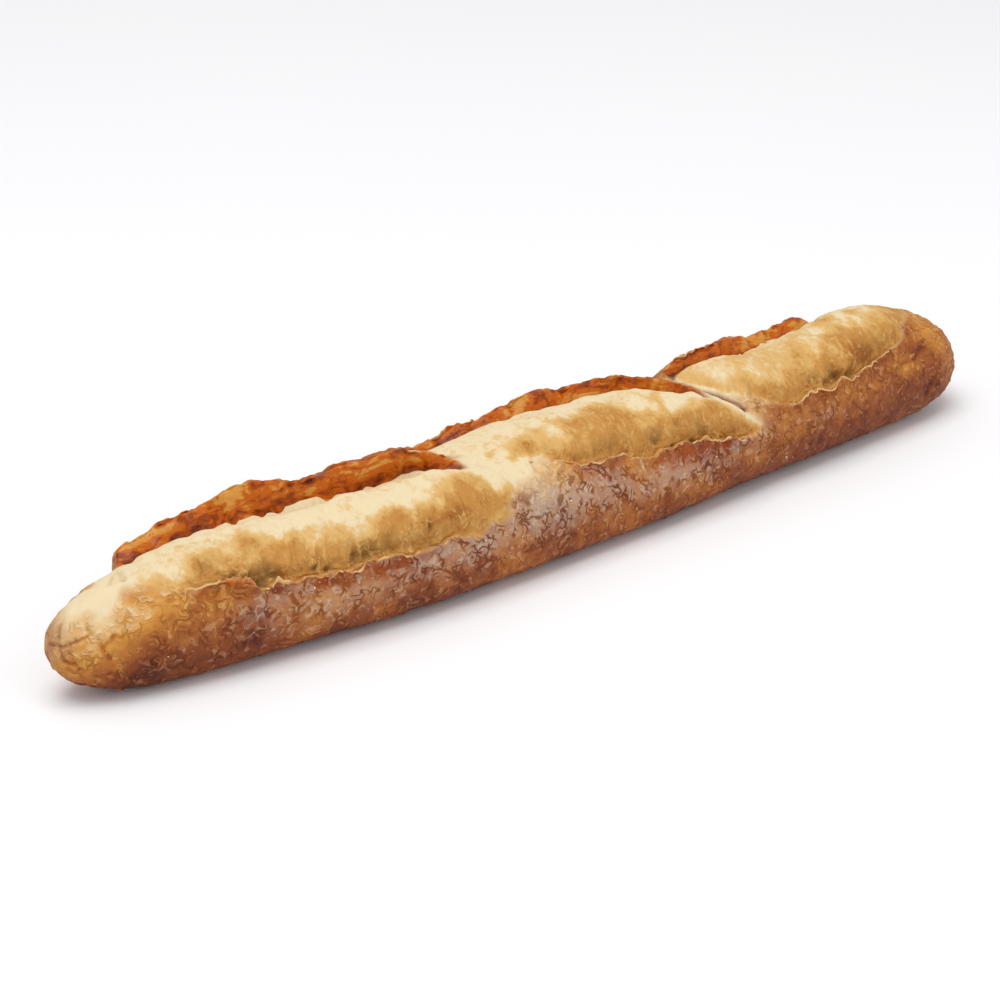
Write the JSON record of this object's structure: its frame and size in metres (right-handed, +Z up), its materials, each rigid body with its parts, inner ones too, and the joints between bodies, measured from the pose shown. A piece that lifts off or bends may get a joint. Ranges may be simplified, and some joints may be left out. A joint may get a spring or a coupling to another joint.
{
  "type": "baguette",
  "caption": "Long crusty loaf with slanting cuts that opened in the oven, resting on its flat base.",
  "frame": {"origin": "middle of the loaf's bounding box at the surface it rests on", "axes": "+X along the loaf towards its blunt end, -Y its front with the torn lips of the cuts, +Z up"},
  "size_m": [0.56, 0.0766, 0.0688],
  "materials": {
    "crust": "dry baked crust, matt"
  },
  "bodies": {
    "root": {"baguette": "crust"}
  },
  "joints": []
}
